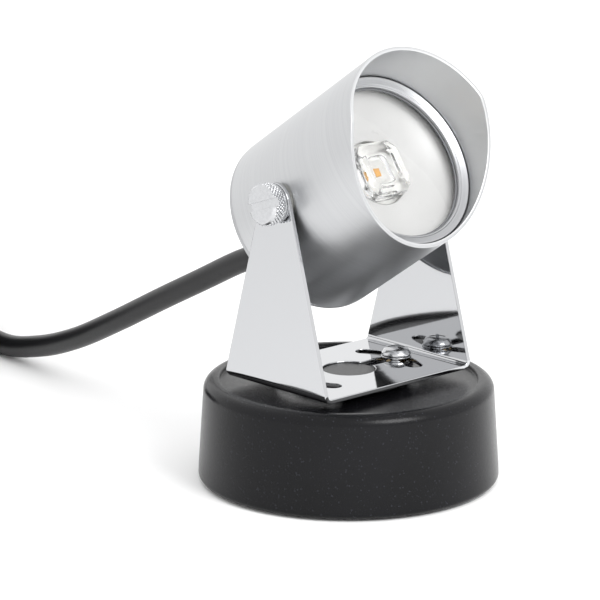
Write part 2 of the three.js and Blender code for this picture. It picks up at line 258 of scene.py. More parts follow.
def ramp(tree, source, low, high, lowColour, highColour):
    made = node(tree, "ValToRGB", None, Fac=source)
    made.color_ramp.elements[0].position, made.color_ramp.elements[0].color = low, lowColour
    made.color_ramp.elements[1].position, made.color_ramp.elements[1].color = high, highColour
    return made


# 304 stainless, belt-brushed round the tube: fine lines run round the axis and stretch the highlights
def brushedStainless(name, colour, roughness, linePitch, axisTurn):
    made, tree, shader = startMaterial(name, Metallic=1.0, Roughness=roughness)
    coordinates = node(tree, "TexCoord")
    lie = node(tree, "Mapping", {"Rotation": axisTurn}, Vector=coordinates.outputs["Object"])
    stretch = node(tree, "Mapping", {"Scale": (6, 6, 1 / linePitch)}, Vector=lie.outputs["Vector"])
    lines = node(tree, "TexNoise", {"Scale": 1.0, "Detail": 4.0, "Roughness": 0.7}, Vector=stretch.outputs["Vector"])
    cloud = node(tree, "TexNoise", {"Scale": 1 / (22.2 * mm), "Detail": 2.0}, Vector=coordinates.outputs["Object"])
    tone = ramp(tree, lines.outputs["Fac"], 0.3, 0.7, linear(colour[0]), linear(colour[1]))
    # painted light: the inside of the tube is painted a brighter steel (#d0d1d2), standing in for light that falls
    # into the visor
    inside = node(tree, "Attribute", {"attribute_name": "inside"})
    toneWithPaintedLight = node(tree, "Mix", {"data_type": "RGBA", 7: linear("#d0d1d2")}, at0=inside.outputs["Fac"],
                 at6=tone.outputs["Color"])
    tree.links.new(toneWithPaintedLight.outputs[2], shader.inputs["Base Color"])
    mixed = node(tree, "Math", {"operation": "MULTIPLY_ADD", 1: 0.12, 2: roughness - 0.06}, at0=lines.outputs["Fac"])
    blotch = node(tree, "Math", {"operation": "MULTIPLY_ADD", 1: 0.06}, at0=cloud.outputs["Fac"],
                  at2=mixed.outputs["Value"])
    tree.links.new(blotch.outputs["Value"], shader.inputs["Roughness"])
    bump = node(tree, "Bump", {"Strength": 0.12, "Distance": 0.04 * mm}, Height=lines.outputs["Fac"])
    tree.links.new(bump.outputs["Normal"], shader.inputs["Normal"])
    return made


# 304 stainless sheet, mirror polished: clear reflections, a faint haze of handling
def polishedStainless(name, colour, roughness):
    made, tree, shader = startMaterial(name, Metallic=1.0, Base_Color=linear(colour))
    coordinates = node(tree, "TexCoord")
    haze = node(tree, "TexNoise", {"Scale": 1 / (14.3 * mm), "Detail": 5.0, "Roughness": 0.6},
                Vector=coordinates.outputs["Object"])
    value = node(tree, "Math", {"operation": "MULTIPLY_ADD", 1: 0.05, 2: roughness - 0.02}, at0=haze.outputs["Fac"])
    tree.links.new(value.outputs["Value"], shader.inputs["Roughness"])
    bump = node(tree, "Bump", {"Strength": 0.04, "Distance": 0.1 * mm}, Height=haze.outputs["Fac"])
    tree.links.new(bump.outputs["Normal"], shader.inputs["Normal"])
    return made


# turned or cast metal: even fine grain that softens the highlights
def grainedMetal(name, colour, roughness, grain):
    made, tree, shader = startMaterial(name, Metallic=1.0)
    coordinates = node(tree, "TexCoord")
    noise = node(tree, "TexNoise", {"Scale": 1 / grain, "Detail": 3.0}, Vector=coordinates.outputs["Object"])
    tone = ramp(tree, noise.outputs["Fac"], 0.3, 0.75, linear(colour[0]), linear(colour[1]))
    tree.links.new(tone.outputs["Color"], shader.inputs["Base Color"])
    value = node(tree, "Math", {"operation": "MULTIPLY_ADD", 1: 0.08, 2: roughness - 0.04}, at0=noise.outputs["Fac"])
    tree.links.new(value.outputs["Value"], shader.inputs["Roughness"])
    bump = node(tree, "Bump", {"Strength": 0.05, "Distance": 0.03 * mm}, Height=noise.outputs["Fac"])
    tree.links.new(bump.outputs["Normal"], shader.inputs["Normal"])
    return made


# moulded plastic or rubber: two close tones, a fine grain in the gloss and the surface
def moulded(name, colour, roughness, grain, bumpDepth=0.06 * mm, specular=0.5):
    made, tree, shader = startMaterial(name, Specular_IOR_Level=specular)
    coordinates = node(tree, "TexCoord")
    fine = node(tree, "TexNoise", {"Scale": 1 / grain, "Detail": 3.0, "Roughness": 0.6},
                Vector=coordinates.outputs["Object"])
    broad = node(tree, "TexNoise", {"Scale": 1 / (16.7 * mm), "Detail": 2.0}, Vector=coordinates.outputs["Object"])
    tone = ramp(tree, broad.outputs["Fac"], 0.3, 0.7, linear(colour[0]), linear(colour[1]))
    tree.links.new(tone.outputs["Color"], shader.inputs["Base Color"])
    value = node(tree, "Math", {"operation": "MULTIPLY_ADD", 1: 0.16, 2: roughness - 0.08}, at0=fine.outputs["Fac"])
    tree.links.new(value.outputs["Value"], shader.inputs["Roughness"])
    bump = node(tree, "Bump", {"Strength": 0.3, "Distance": bumpDepth}, Height=fine.outputs["Fac"])
    tree.links.new(bump.outputs["Normal"], shader.inputs["Normal"])
    return made


# filled polymer casting, charcoal: pale mineral specks about a millimetre apart show on the wall
def speckledCasting(name, settings):
    made, tree, shader = startMaterial(name, Specular_IOR_Level=0.18)
    coordinates = node(tree, "TexCoord")
    vector = coordinates.outputs["Object"]
    grit = node(tree, "TexVoronoi", {"feature": "F1", "Scale": 1 / settings["speckPitch"]}, Vector=vector)
    which = node(tree, "TexNoise", {"Scale": 0.8 / settings["speckPitch"], "Detail": 1.0}, Vector=vector)
    dot = node(tree, "Math", {"operation": "LESS_THAN", 1: 0.22}, at0=grit.outputs["Distance"])
    some = node(tree, "Math", {"operation": "GREATER_THAN", 1: 0.52}, at0=which.outputs["Fac"])
    speck = node(tree, "Math", {"operation": "MULTIPLY"}, at0=dot.outputs["Value"], at1=some.outputs["Value"])
    broad = node(tree, "TexNoise", {"Scale": 1 / (25 * mm), "Detail": 3.0}, Vector=vector)
    ground = ramp(tree, broad.outputs["Fac"], 0.3, 0.7, linear(settings["dark"]), linear(settings["light"]))
    colour = node(tree, "Mix", {"data_type": "RGBA", 7: linear(settings["speck"])},
                  at0=speck.outputs["Value"], at6=ground.outputs["Color"])
    tree.links.new(colour.outputs[2], shader.inputs["Base Color"])
    fine = node(tree, "TexNoise", {"Scale": 1 / (0.4545 * mm), "Detail": 3.0}, Vector=vector)
    value = node(tree, "Math", {"operation": "MULTIPLY_ADD", 1: 0.2, 2: settings["roughness"] - 0.1},
                 at0=fine.outputs["Fac"])
    tree.links.new(value.outputs["Value"], shader.inputs["Roughness"])
    bump = node(tree, "Bump", {"Strength": 0.35, "Distance": 0.12 * mm}, Height=fine.outputs["Fac"])
    tree.links.new(bump.outputs["Normal"], shader.inputs["Normal"])
    return made


# clear tempered glass: thin cover seen through, with a faint mirror image on its outer side that grows
# at a slant
def flatGlass(name):
    made, tree, shader = startMaterial(name)
    clear = node(tree, "BsdfTransparent", {"Color": (1, 1, 1, 1)})
    slant = node(tree, "Fresnel", {"IOR": 1.52})
    outer = node(tree, "Math", {"operation": "SUBTRACT", 0: 1.0}, at1=node(tree, "NewGeometry").outputs["Backfacing"])
    image = node(tree, "Math", {"operation": "MULTIPLY"}, at0=slant.outputs["Fac"], at1=outer.outputs["Value"])
    coordinates = node(tree, "TexCoord")
    smudge = node(tree, "TexNoise", {"Scale": 1 / (11.1 * mm), "Detail": 2.0}, Vector=coordinates.outputs["Object"])
    cover = node(tree, "Math", {"operation": "MULTIPLY_ADD", 1: 0.01}, at0=smudge.outputs["Fac"],
                 at2=image.outputs["Value"])
    mirror = node(tree, "BsdfGlossy", {"Roughness": 0.02})
    mixed = node(tree, "MixShader", None, Fac=cover.outputs["Value"], at1=clear.outputs["BSDF"],
                 at2=mirror.outputs["BSDF"])
    tree.links.new(mixed.outputs["Shader"], tree.nodes["Material Output"].inputs["Surface"])
    tree.nodes.remove(shader)
    return made


# clear moulded acrylic optic
def clearAcrylic(name):
    made, tree, shader = startMaterial(name, Base_Color=linear("#ffffff"), Roughness=0.05, IOR=1.49,
                                       Transmission_Weight=1.0)
    coordinates = node(tree, "TexCoord")
    flow = node(tree, "TexNoise", {"Scale": 1 / (2.857 * mm), "Detail": 2.0}, Vector=coordinates.outputs["Object"])
    bump = node(tree, "Bump", {"Strength": 0.25, "Distance": 0.3 * mm}, Height=flow.outputs["Fac"])
    tree.links.new(bump.outputs["Normal"], shader.inputs["Normal"])
    return made


headTurn = (math.pi / 2 + tilt, 0, 0)  # turns the beam axis onto Z for the patterns
paints = {
    "tube": brushedStainless("brushed stainless tube", ("#b7b8ba", "#c3c4c5"), 0.34, 0.2 * mm, headTurn),
    "ring": brushedStainless("turned stainless ring", ("#a8a9ab", "#b5b6b8"), 0.26, 0.2 * mm, headTurn),
    "bracket": polishedStainless("mirror polished stainless sheet", "#bfc0c2", 0.05),
    "screws": grainedMetal("turned stainless screws", ("#bcbdbf", "#c8c9cb"), 0.2, 0.8 * mm),
    "brass": grainedMetal("turned brass", ("#a8874a", "#cdb071"), 0.3, 0.8 * mm),
    "aluminium": grainedMetal("turned aluminium", ("#9da0a3", "#c3c6c9"), 0.4, 0.8 * mm),
    "pins": grainedMetal("tinned copper pins", ("#b98a6a", "#d2b59d"), 0.3, 0.8 * mm),
    "base": speckledCasting("speckled charcoal casting", {
        "speckPitch": 1.1 * mm, "dark": "#0b0b0d", "light": "#101013", "speck": "#232429", "roughness": 0.24}),
    "ballast": moulded("cast concrete", ("#86847e", "#9c9a93"), 0.9, 1 * mm, 0.3 * mm),
    "plastic": moulded("moulded black nylon", ("#131315", "#1a1a1c"), 0.5, 0.8 * mm),
    "rubber": moulded("black rubber sheath", ("#0e0e10", "#141416"), 0.38, 0.9 * mm, 0.08 * mm, 0.4),
    "seal": moulded("grey silicone seal", ("#5e5f61", "#6c6d70"), 0.6, 0.8 * mm),
    "nylon": moulded("natural nylon washer", ("#dbd9d0", "#e8e6de"), 0.5, 1 * mm),
    "dish": moulded("white moulded dish", ("#b6b6b5", "#bebebd"), 0.3, 2 * mm, 0.03 * mm),
    "phosphor": moulded("phosphor coated die", ("#e0951c", "#f5b636"), 0.6, 0.6 * mm),
    "mask": moulded("white solder mask", ("#e6e6e2", "#f2f2ef"), 0.4, 1 * mm),
    "board": moulded("green solder mask", ("#215c38", "#2f7148"), 0.4, 1 * mm),
    "ferrite": moulded("ferrite core", ("#2f2f31", "#3b3b3e"), 0.7, 0.7 * mm),
    "red": moulded("red wire insulation", ("#8e1c16", "#a8281f"), 0.45, 1 * mm),
    "strap": moulded("woven strap", ("#151517", "#222225"), 0.85, 0.9 * mm, 0.3 * mm),
    "glass": flatGlass("tempered front glass"),
    "lens": clearAcrylic("moulded acrylic optic"),
}
print("materials made")


def finished(piece, body, paint, *replaced, slot=None):
    piece.data.materials.clear()
    piece.data.materials.append(paints[paint])
    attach(piece, body)
    if replaced:
        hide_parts(*replaced)
    return piece


# cable: one length from the gland to the plug, with its spare wound in a tied coil
cable = {
    "diameter": 7.3 * mm, "length": 5.0,
    "insideGland": 33 * mm, "boot": 43 * mm,  # along the head's axis, behind the pivot
    "run": [(0, 50, 57), (0, 64.5, 49.6), (0, 83.2, 40.2), (1, 108.5, 27.4), (4, 133.8, 15.9), (8, 158, 7.8),
            (10.3, 177, 3.9), (12.2, 189.3, 3.7), (15.3, 200.5, 3.7)],
    "coilCentre": (-28, 238), "middleRadius": 44, "step": 7.35, "layers": 5, "startDegrees": -30,
    "strapDegrees": 180, "strapLift": 1.3,
    "tail": [(22, 26.4, 42.9), (12, 32.7, 45.1), (1, 34.9, 46.1), (-6, 35, 46.4), (-12, 35, 46.4)],
}


# centreline of the coil: each layer is three turns of a flat spiral, inwards and outwards by turns,
# and a quarter turn at one radius carries the cable up to the next layer
def coilLine(b, perTurn=72):
    perLayer = 3 + 0.25
    turn = np.arange(int((b["layers"] * perLayer - 0.25) * perTurn) + 1) / perTurn
    layer = np.floor(turn / perLayer)
    within = turn - layer * perLayer
    across = np.minimum(within, 3) / 3
    across = np.where(layer % 2 == 0, across, 1 - across)
    rise = np.clip((within - 3) / 0.25, 0, 1)
    radius = b["middleRadius"] + b["step"] * (1.5 - 3 * across)
    height = b["diameter"] / 2 / mm + 0.05 + b["step"] * (layer + rise * rise * (3 - 2 * rise))
    angle = turn * 2 * np.pi + math.radians(b["startDegrees"])
    fromStrap = np.mod(angle - math.radians(b["strapDegrees"]) + np.pi, 2 * np.pi) - np.pi
    height = height + b["strapLift"] * np.exp(-(fromStrap / 0.3) ** 2)
    cx, cy = b["coilCentre"]
    return np.stack([cx + radius * np.cos(angle), cy + radius * np.sin(angle), height], axis=1)


def makeCable():
    onAxis = [(headOrigin - beam * cable[key]) / mm for key in ("insideGland", "boot")]
    cx, cy = cable["coilCentre"]
    coil = coilLine(cable)
    # from the end of the coil the tail climbs over the turns along their inner edge
    inner = cable["middleRadius"] - 1.5 * cable["step"]
    a = np.radians(np.arange(-22, 42, 8.0))
    share = (np.degrees(a) - cable["startDegrees"]) / 120
    climb = coil[-1, 2] + (cable["tail"][-1][2] - coil[-1, 2]) * share ** 2 * (3 - 2 * share)
    over = np.stack([cx + (inner + share) * np.cos(a), cy + (inner + share) * np.sin(a), climb], axis=1)
    tail = [(cx + x, cy + y, z) for x, y, z in cable["tail"]]
    line = np.vstack([onAxis[0], (onAxis[0] + onAxis[1]) / 2, onAxis[1], cable["run"], coil, over, tail])
    return spaced(smoothLine(line * mm), 3.6 * mm)


# a curve through the points: between two of them, the cubic that keeps both places and both slopes
def smoothLine(points, perGap=10):
    p = np.asarray(points, float)
    gaps = np.maximum(np.linalg.norm(np.diff(p, axis=0), axis=1), 1e-9)
    at = np.concatenate([[0], np.cumsum(gaps)])
    slope = np.gradient(p, at, axis=0)
    i = np.repeat(np.arange(len(p) - 1), perGap)
    t = np.tile(np.arange(perGap) / perGap, len(p) - 1)[:, None]
    w = gaps[i][:, None]
    fine = ((2 * t ** 3 - 3 * t ** 2 + 1) * p[i] + (t ** 3 - 2 * t ** 2 + t) * w * slope[i]
            + (-2 * t ** 3 + 3 * t ** 2) * p[i + 1] + (t ** 3 - t ** 2) * w * slope[i + 1])
    return np.vstack([fine, p[-1:]])


cableLine = makeCable()
print("cable length", round(lengthOf(cableLine), 3))
cablePiece = tubeAlong("cable", cableLine, cable["diameter"] / 2)
cablePiece.data.materials.append(paints["rubber"])
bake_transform(cablePiece)
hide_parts("cable_run", "cable_coil", "cable_tail")
print("cable made")


# base: turned shell with a raised lip and a pad under the bracket
base = {"bottomRadius": 45 * mm, "topRadius": 43.4 * mm, "top": 31.1 * mm, "rimRound": 3.4 * mm,
        "recess": 1.1 * mm, "lipWidth": 1.4 * mm, "padRadius": 16 * mm, "bossRadius": 5.2 * mm, "padTop": 32.3 * mm,
        "pilotRadius": 7.8 * mm, "pilotTop": 33.2 * mm, "insertAt": 19.8 * mm, "insertRadius": 3.1 * mm,
        "hollowRadius": 40.5 * mm, "hollowTop": 25 * mm, "skirtInside": 42.2 * mm, "bossLow": 28 * mm,
        "boreLow": 26.3 * mm, "boreHigh": 40 * mm}


def makeBase(b):
    rimAngle = np.linspace(0, np.pi / 2, 14)[:, None]
    rim = (np.array([b["topRadius"] - b["rimRound"], b["top"] - b["rimRound"]])
           + b["rimRound"] * np.hstack([np.cos(rimAngle), np.sin(rimAngle)]))
    lipIn = b["topRadius"] - b["rimRound"] - b["lipWidth"]
    edge = eased([(b["skirtInside"], 3 * mm), (b["skirtInside"], 0.8 * mm), (44.2 * mm, 0.8 * mm),
                  (b["bottomRadius"], 1.8 * mm), (b["bottomRadius"] - 0.1 * mm, 5 * mm)], 0.6 * mm)
    low = b["top"] - b["recess"]
    topSide = eased([(lipIn + 0.6 * mm, b["top"]), (lipIn, b["top"]), (lipIn - 0.3 * mm, low),
                     (b["padRadius"] + 0.3 * mm, low), (b["padRadius"], b["padTop"]), (b["pilotRadius"], b["padTop"]),
                     (b["pilotRadius"], b["pilotTop"]), (0, b["pilotTop"])], 0.25 * mm)
    profile = np.vstack([[(0, b["hollowTop"]), (b["hollowRadius"], b["hollowTop"])], edge, rim, topSide])
    shell = turned("base_shell_turned", profile, segments=256)
    place = (b["insertAt"], 0, 0)
    bossSide = eased([(0, b["bossLow"]), (b["bossRadius"], b["bossLow"]), (b["bossRadius"], b["padTop"]),
                      (0, b["padTop"])], 0.3 * mm)
    joined(shell, turned("boss", bossSide, origin=place, segments=64))
    boreSide = [(0, b["boreLow"]), (b["insertRadius"], b["boreLow"]), (b["insertRadius"], b["boreHigh"]),
                (0, b["boreHigh"])]
    bore = turned("bore", boreSide, origin=place, segments=48)
    finished(evenShade(carved(shell, bore)), "base", "base", "base_shell", slot="base_shell")
    for i in range(1, 5):
        foot = f"base_foot_{i}"
        low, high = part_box(foot)
        centre = (np.array(low) + np.array(high)) / 2
        radius = (high[0] - low[0]) / 2
        block = eased([(0, low[2]), (radius, low[2]), (radius, high[2]), (0, high[2])], 0.35 * mm)
        pad = turned(f"foot_pad_{i}", block, origin=(centre[0], centre[1], 0), segments=64)
        finished(pad, "base", "rubber", foot, slot="rubber_foot")


makeBase(base)
print("base made")

# bracket: a flat strip pattern, folded up at two bends
bracket = {"sheet": 1.3 * mm, "outside": 29.9 * mm, "bendOutside": 2.6 * mm, "plateTop": 33.7 * mm,
           "halfDepth": 21.4 * mm, "topRadius": 5.9 * mm, "pivotHole": 2.25 * mm, "centreHole": 8 * mm,
           "slotRadius": 19.8 * mm, "slotWidth": 5 * mm, "slotHalfAngle": 33, "channel": 5 * mm,
           "edgeRound": 0.22 * mm}


def makeBracket(b):
    t, bend = b["sheet"], b["bendOutside"]
    flat = b["outside"] - bend
    arc = (bend - t / 2) * np.pi / 2
    bottom = b["plateTop"] - t
    pivotAt = flat + arc + pivot[2] - (bottom + bend)
    lean = math.atan2(b["halfDepth"] - b["topRadius"], pivot[2] - b["plateTop"])
    shoulder = flat + arc
    around = np.linspace(np.pi / 2 - lean, -np.pi / 2 + lean, 40)
    rightEnd = np.stack([pivotAt + b["topRadius"] * np.cos(around), b["topRadius"] * np.sin(around)], axis=1)
    right = np.vstack([[(shoulder, b["halfDepth"])], rightEnd, [(shoulder, -b["halfDepth"])]])
    outline = np.vstack([right, -right])
    u = np.linspace(0, 2 * np.pi, 48, endpoint=False)

    def circle(x, radius):
        return np.stack([x + radius * np.cos(u), radius * np.sin(u)], axis=1)

    half, end = b["slotWidth"] / 2, math.radians(b["slotHalfAngle"])

    def arcPoints(cx, cy, radius, start, stop, count):
        a = np.linspace(start, stop, count)
        return np.stack([cx + radius * np.cos(a), cy + radius * np.sin(a)], axis=1)

    capX, capY = b["slotRadius"] * math.cos(end), b["slotRadius"] * math.sin(end)
    leftSlot = -np.vstack([arcPoints(0, 0, b["slotRadius"] + half, -end, end, 24),
                           arcPoints(capX, capY, half, end, end + np.pi, 14)[1:-1],
                           arcPoints(0, 0, b["slotRadius"] - half, end, -end, 24),
                           arcPoints(capX, -capY, half, np.pi - end, 2 * np.pi - end, 14)[1:-1]])
    # centre hole, channel and right slot are one opening
    h = b["channel"] / 2
    inner = b["slotRadius"] - half
    holeMeets, slotMeets = math.asin(h / b["centreHole"]), math.asin(h / inner)
    keyhole = np.vstack([arcPoints(0, 0, b["centreHole"], holeMeets, 2 * np.pi - holeMeets, 44),
                         arcPoints(0, 0, inner, -slotMeets, -end, 10),
                         arcPoints(capX, -capY, half, np.pi - end, 2 * np.pi - end, 14)[1:-1],
                         arcPoints(0, 0, b["slotRadius"] + half, -end, end, 24),
                         arcPoints(capX, capY, half, end, end + np.pi, 14)[1:-1],
                         arcPoints(0, 0, inner, end, slotMeets, 10)])
    curve = bpy.data.curves.new("strip", "CURVE")
    curve.dimensions, curve.fill_mode = "2D", "BOTH"
    curve.extrude, curve.bevel_depth = t / 2 - b["edgeRound"], b["edgeRound"]
    curve.offset, curve.bevel_resolution = -b["edgeRound"], 2
    for loop in (outline, leftSlot, keyhole, circle(pivotAt, b["pivotHole"]), circle(-pivotAt, b["pivotHole"])):
        spline = curve.splines.new("POLY")
        spline.points.add(len(loop) - 1)
        spline.points.foreach_set("co", np.hstack([loop, np.zeros((len(loop), 1)), np.ones((len(loop), 1))]).ravel())
        spline.use_cyclic_u = True
    strip = bpy.data.objects.new("strip", curve)
    bpy.context.scene.collection.objects.link(strip)
    mesh = bpy.data.meshes.new_from_object(strip.evaluated_get(bpy.context.evaluated_depsgraph_get()))
    bpy.data.objects.remove(strip)
    work = bmesh.new()
    work.from_mesh(mesh)
    bmesh.ops.remove_doubles(work, verts=work.verts, dist=1e-6)
    for side in (-1, 1):
        for at in np.linspace(flat, flat + arc, 15):
            bmesh.ops.bisect_plane(work, geom=work.verts[:] + work.edges[:] + work.faces[:], dist=1e-7,
                                   plane_co=(side * at, 0, 0), plane_no=(1, 0, 0))
    bmesh.ops.recalc_face_normals(work, faces=work.faces)
    work.to_mesh(mesh)
    work.free()
    # folding: flat part, then a quarter turn of the middle line, then straight up
    flatPoints = np.empty(len(mesh.vertices) * 3)
    mesh.vertices.foreach_get("co", flatPoints)
    along, depth, height = flatPoints.reshape(-1, 3).T
    side, far = np.sign(along), np.abs(along)
    angle = np.clip((far - flat) / (bend - t / 2), 0, np.pi / 2)
    reach = bend - t / 2 - height  # the top face of the strip is the inside of the bend
    straight = np.clip(far - flat - arc, 0, None)
    x = side * (np.minimum(far, flat) + reach * np.sin(angle))
    z = bottom + bend - reach * np.cos(angle) + straight
    mesh.vertices.foreach_set("co", np.stack([x, depth, z], axis=1).ravel())
    mesh.polygons.foreach_set("use_smooth", [True] * len(mesh.polygons))
    mesh.name = "bracket_folded"
    made = bpy.data.objects.new("bracket_folded", mesh)
    bpy.context.scene.collection.objects.link(made)
    return made


finished(evenShade(makeBracket(bracket)), "bracket", "bracket", "bracket", slot="bracket_steel")
print("bracket made")

# head: tube with a slanted visor, ring, seal and glass
housing = {"radius": 28 * mm, "wall": 1.2 * mm, "back": -21.4 * mm, "front": 39.2 * mm, "cutAt": 35.3 * mm,
           "cutSlope": 0.464, "cornerEase": 0.5 * mm, "edgeRound": 0.3 * mm, "rows": 22, "pivotHole": 2.5 * mm}


def makeHousing(b):
    inner, rows = b["radius"] - b["wall"], b["rows"]
    # rows of the wall: a radius, a share of the way from the back (0) to the front (1), and an offset
    steps = np.linspace(0, 1, rows + 2)[1:-1]
    far = -100 * mm  # the eased corner's own ends lie well down the wall
    corner = eased([(b["radius"], far), (b["radius"], 0), (inner, 0), (inner, far)], b["edgeRound"])[1:-1]
    radius = np.concatenate([np.full(rows, b["radius"]), corner[:, 0], np.full(rows, inner), corner[::-1, 0]])
    share = np.concatenate([steps, np.ones(len(corner)), steps[::-1], np.zeros(len(corner))])
    offset = np.concatenate([np.zeros(rows), corner[:, 1], np.zeros(rows), -corner[::-1, 1]])
    profile = np.stack([radius, offset], axis=1)

    # front of the wall: the lower of a square cut and a slanted cut, eased where they meet
    def slanted(u, r, h):
        gap = b["cutAt"] + b["cutSlope"] * r * np.sin(u) - b["front"]
        end = b["front"] + 0.5 * (gap - np.sqrt(gap ** 2 + b["cornerEase"] ** 2))
        return r, b["back"] + share[:, None] * (end - b["back"]) + h

    tube = onHead("housing_turned", profile, segments=288, closed=True, reshape=slanted)
    pin = turned("pin", [(0, -0.05), (b["pivotHole"], -0.05), (b["pivotHole"], 0.05), (0, 0.05)],
                 np.column_stack([upward, beam, across]), pivot, 32)
    carved(tube, pin)
    points = np.empty(len(tube.data.vertices) * 3)
    tube.data.vertices.foreach_get("co", points)
    local = (points.reshape(-1, 3) - headOrigin) @ headAxes
    # painted light: the 'inside' mask marks the inner wall, which the tube material paints brighter in place of light
    # falling into the visor
    within = np.hypot(local[:, 0], local[:, 1]) < b["radius"] - 0.7 * b["wall"]
    tube.data.attributes.new("inside", "FLOAT", "POINT").data.foreach_set("value", within.astype(float))
    finished(evenShade(tube), "head", "tube", "housing_tube", slot="housing_steel")


makeHousing(housing)

# profiles in mm: [radius, place along the beam]
front = {"ring": [(23.6, 20.4), (26.55, 20.4), (26.55, 22.2), (26.3, 22.4), (24.4, 21.7), (24.2, 21.45),
                  (23.9, 21.45), (23.6, 21.2)],
         "seal": [(23.15, 19.8), (26.4, 19.8), (26.4, 20.3), (23.15, 20.3)],
         "pane": [(0, 17.2), (26.2, 17.2), (26.2, 19.7), (0, 19.7)]}


def makeFront(b):
    ring = eased(np.array(b["ring"]) * mm, 0.15 * mm, closed=True)
    finished(evenShade(onHead("ring_turned", ring, closed=True, segments=220)), "head", "ring", "retaining_ring",
             slot="ring_steel")
    seal = eased(np.array(b["seal"]) * mm, 0.2 * mm, closed=True)
    finished(onHead("glass_seal_ring", seal, closed=True, segments=200), "head", "seal", "glass_seal",
             slot="seal_rubber")
    pane = eased(np.array(b["pane"]) * mm, 0.4 * mm)
    finished(evenShade(onHead("glass_pane", pane, segments=200)), "head", "glass", "front_glass", slot="front_glass")


makeFront(front)

optic = {"bowlMouth": 23.9 * mm, "bowlThroat": 10 * mm, "bowlDepth": 3.4 * mm, "bowlBack": 13 * mm,
         "lensFlats": 8.4 * mm, "lensBack": 11.2 * mm, "lensFront": 17.1 * mm}


def makeOptics(b):
    v = np.linspace(0, 1, 30)
    r = b["bowlThroat"] + (b["bowlMouth"] - b["bowlThroat"]) * v
    z = b["bowlBack"] + b["bowlDepth"] * (0.94 * v ** 2 + 0.06 * v)
    inside = np.stack([r, z], axis=1)
    outside = np.stack([r + 0.9 * mm, np.minimum(z - 0.9 * mm, 15.5 * mm)], axis=1)[::-1]
    flange = [(24.6 * mm, 17 * mm), (26.2 * mm, 17 * mm), (26.2 * mm, 15.8 * mm)]
    dish = onHead("dish", np.vstack([inside, flange, outside]), closed=True, segments=180)
    finished(evenShade(dish), "head", "dish", "reflector_dish", slot="reflector")

    # eight-sided block with soft corners: radius to a superellipse-like octagon, dished on top
    def octagon(u, r, h):
        flats = np.abs(np.cos(u)), np.abs(np.sin(u)), np.abs(np.cos(u - np.pi / 4)) / 1.18, \
            np.abs(np.sin(u - np.pi / 4)) / 1.18
        reach = sum(f ** 26 for f in flats) ** (-1 / 26)
        return r * reach, h

    f = b["lensFlats"]
    back = b["lensBack"]
    block = eased([(0, back + 1.4 * mm), (3.2 * mm, back + 1.2 * mm), (5.2 * mm, back + 0.6 * mm), (5.4 * mm, back),
                   (f, back), (f, b["lensFront"] - 0.8 * mm), (f - 0.9 * mm, b["lensFront"]),
                   (5.6 * mm, b["lensFront"]), (4.6 * mm, b["lensFront"] - 0.8 * mm),
                   (0, b["lensFront"] - 1.4 * mm)], 0.5 * mm)
    finished(evenShade(onHead("optic_block", block, segments=192, reshape=octagon)), "head", "lens", "led_lens",
             slot="lens")


makeOptics(optic)


# phosphor die: a small square under the block
die = {"width": 2.6 * mm, "thick": 0.8 * mm}


def makeDie(b):
    low, high = (np.array(corner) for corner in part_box("led_emitter"))
    piece = boxPiece("led_die", (b["width"], b["width"], b["thick"]), (low + high) / 2, headAxes)
    finished(piece, "head", "phosphor", "led_emitter", slot="phosphor")


makeDie(die)
print("head front made")

# knurled, slotted thumb screws: a turned profile whose band carries two crossing sets of grooves
thumb = {"headRadius": 6.3 * mm, "thick": 4.8 * mm, "knurls": 34, "knurlDepth": 0.5 * mm, "slotWidth": 2.4 * mm,
         "slotDepth": 2.0 * mm, "slotTurn": 15, "shank": 1.95 * mm, "shankEnd": 21.5 * mm, "gap": 0.8 * mm}


def makeThumb(word, side, b):
    seat = bracket["outside"] + b["gap"]
    top = seat + b["thick"]
    r = b["headRadius"]
    axes = np.column_stack([upward * side, beam, across * side]) if side > 0 else \
        np.column_stack([upward, beam, -across])
    rows = np.linspace(seat + 0.75 * mm, top - 0.95 * mm, 26)
    band = np.stack([np.full(26, r), rows], axis=1)
    under = eased([(0, b["shankEnd"]), (b["shank"], b["shankEnd"]), (b["shank"], seat), (5.4 * mm, seat),
                   (5.6 * mm, seat + 0.1 * mm), (r - 0.35 * mm, seat + 0.65 * mm)], 0.2 * mm)
    face = eased([(r - 0.35 * mm, top - 0.85 * mm), (5.35 * mm, top - 0.1 * mm), (5.0 * mm, top), (0, top)], 0.2 * mm)
    profile = np.vstack([under, band, face])
    inBand = np.zeros(len(profile))
    inBand[len(under):len(under) + 26] = 1

    def knurled(u, radius, height):
        # height of each diamond: the lower of two triangle waves that lean opposite ways
        pitch = 2 * np.pi * r / b["knurls"]
        climb = (height - seat) / pitch
        waves = [np.abs(np.mod(u * b["knurls"] / (2 * np.pi) + lean * climb, 1) - 0.5) * 2 for lean in (-1, 1)]
        return radius - inBand[:, None] * b["knurlDepth"] * np.maximum(waves[0], waves[1]) ** 3, height

    head = turned(f"thumb_{word}_turned", profile, axes, pivot, b["knurls"] * 14, reshape=knurled)
    turn = math.radians(b["slotTurn"])
    slotAxes = np.column_stack([beam * math.cos(turn) - upward * math.sin(turn),
                                beam * math.sin(turn) + upward * math.cos(turn), across])
    slot = boxPiece("slot", (0.02, b["slotWidth"], b["slotDepth"] * 2), pivot + across * side * top, slotAxes)
    carved(head, slot)
    head.data.set_sharp_from_angle(angle=math.radians(24))
    finished(evenShade(head), f"knob_{word}", "screws", f"thumb_screw_{word}", slot="turned_steel")
    for name, low, high, outer, paint, body, place in (
            (f"thumb_washer_{word}", bracket["outside"] + 0.05 * mm, bracket["outside"] + 0.75 * mm, 5.6 * mm,
             "screws", f"washer_{word}", "turned_steel"),
            (f"spacer_{word}", 28.08 * mm, 28.52 * mm, 5.2 * mm, "nylon", "head", "nylon")):
        washer = eased([(2.2 * mm, low), (outer, low), (outer, high), (2.2 * mm, high)], 0.12 * mm, closed=True)
        finished(turned(name + "_ring", washer, axes, pivot, 96, closed=True), body, paint, name, slot=place)


makeThumb("left", -1, thumb)
makeThumb("right", 1, thumb)

